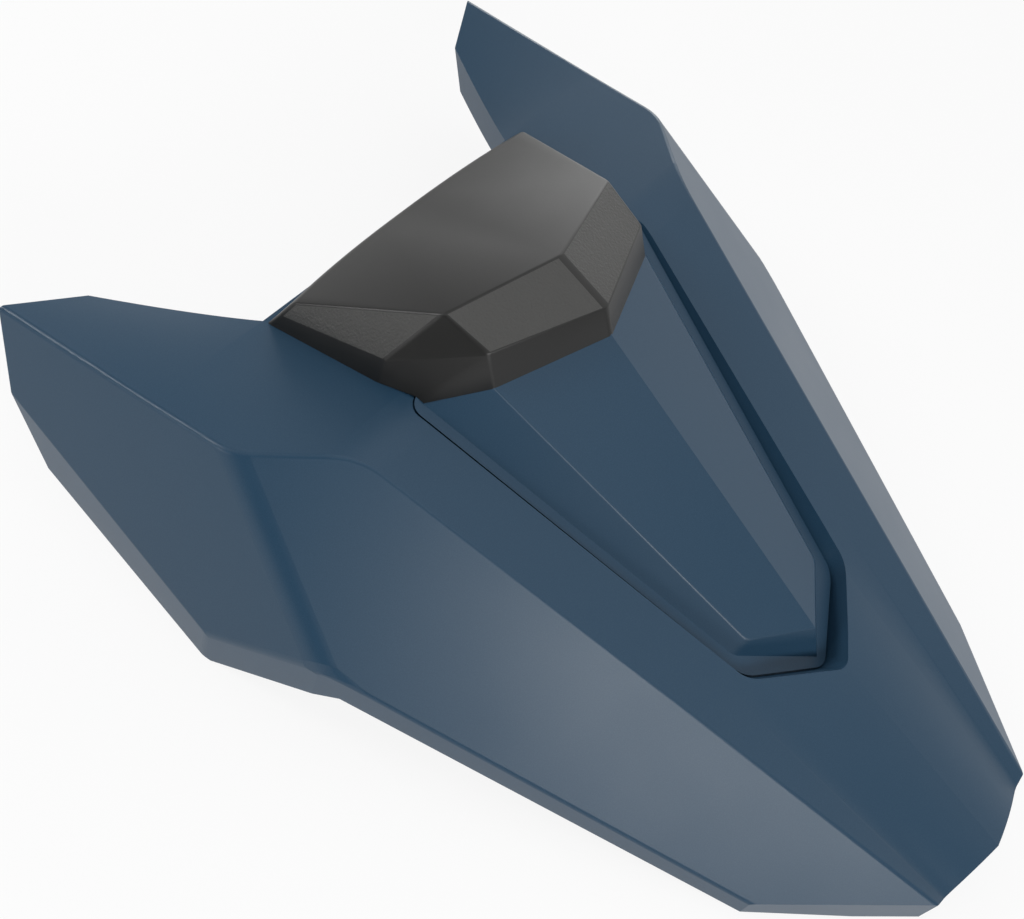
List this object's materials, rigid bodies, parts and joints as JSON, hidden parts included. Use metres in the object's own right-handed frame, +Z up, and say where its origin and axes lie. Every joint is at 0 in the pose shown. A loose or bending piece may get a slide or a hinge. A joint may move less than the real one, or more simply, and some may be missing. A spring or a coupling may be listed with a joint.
{
  "type": "motorbike seat cowl",
  "caption": "Faceted hard cover that takes the place of a motorbike's rear seat, with two forward wings, a padded backrest and a raised centre cover set into a recess.",
  "frame": {"origin": "middle of the length and width, on the flat on which the lower edges of the wings and the tail stand", "axes": "+X to the bike's right side, +Y to the rear of the bike, +Z up"},
  "size_m": [0.2818, 0.3726, 0.1221],
  "materials": {
    "shell_paint": "matt metallic blue paint on moulded plastic",
    "cowl_paint": "matt metallic blue paint on moulded plastic",
    "pad_skin": "fine-grained matt skin on moulded foam",
    "carrier_plastic": "moulded, matt",
    "zinc_steel": "zinc plated",
    "brace_steel": "black powder coat",
    "base_plastic": "moulded, matt",
    "black_rubber": "moulded",
    "black_felt": "pressed felt",
    "grey_foam": "cut foam"
  },
  "bodies": {
    "root": {"main_shell": "shell_paint", "centre_cowl": "cowl_paint", "backrest_pad": "pad_skin", "pad_carrier": "carrier_plastic", "pad_studs": "zinc_steel", "pad_nuts": "zinc_steel", "backrest_brace": "brace_steel", "brace_bolts": "zinc_steel", "brace_nuts": "zinc_steel", "base_plate": "base_plastic", "hook_sleeve_left": "black_rubber", "hook_sleeve_right": "black_rubber", "lock_striker": "zinc_steel", "striker_plate": "zinc_steel", "striker_nuts": "zinc_steel", "base_rubber_front_left": "black_rubber", "base_rubber_front_right": "black_rubber", "base_rubber_rear_left": "black_rubber", "base_rubber_rear_right": "black_rubber", "base_screws": "zinc_steel", "cowl_screws": "zinc_steel", "wing_felt_left": "black_felt", "wing_felt_right": "black_felt", "tail_foam": "grey_foam"}
  },
  "joints": []
}
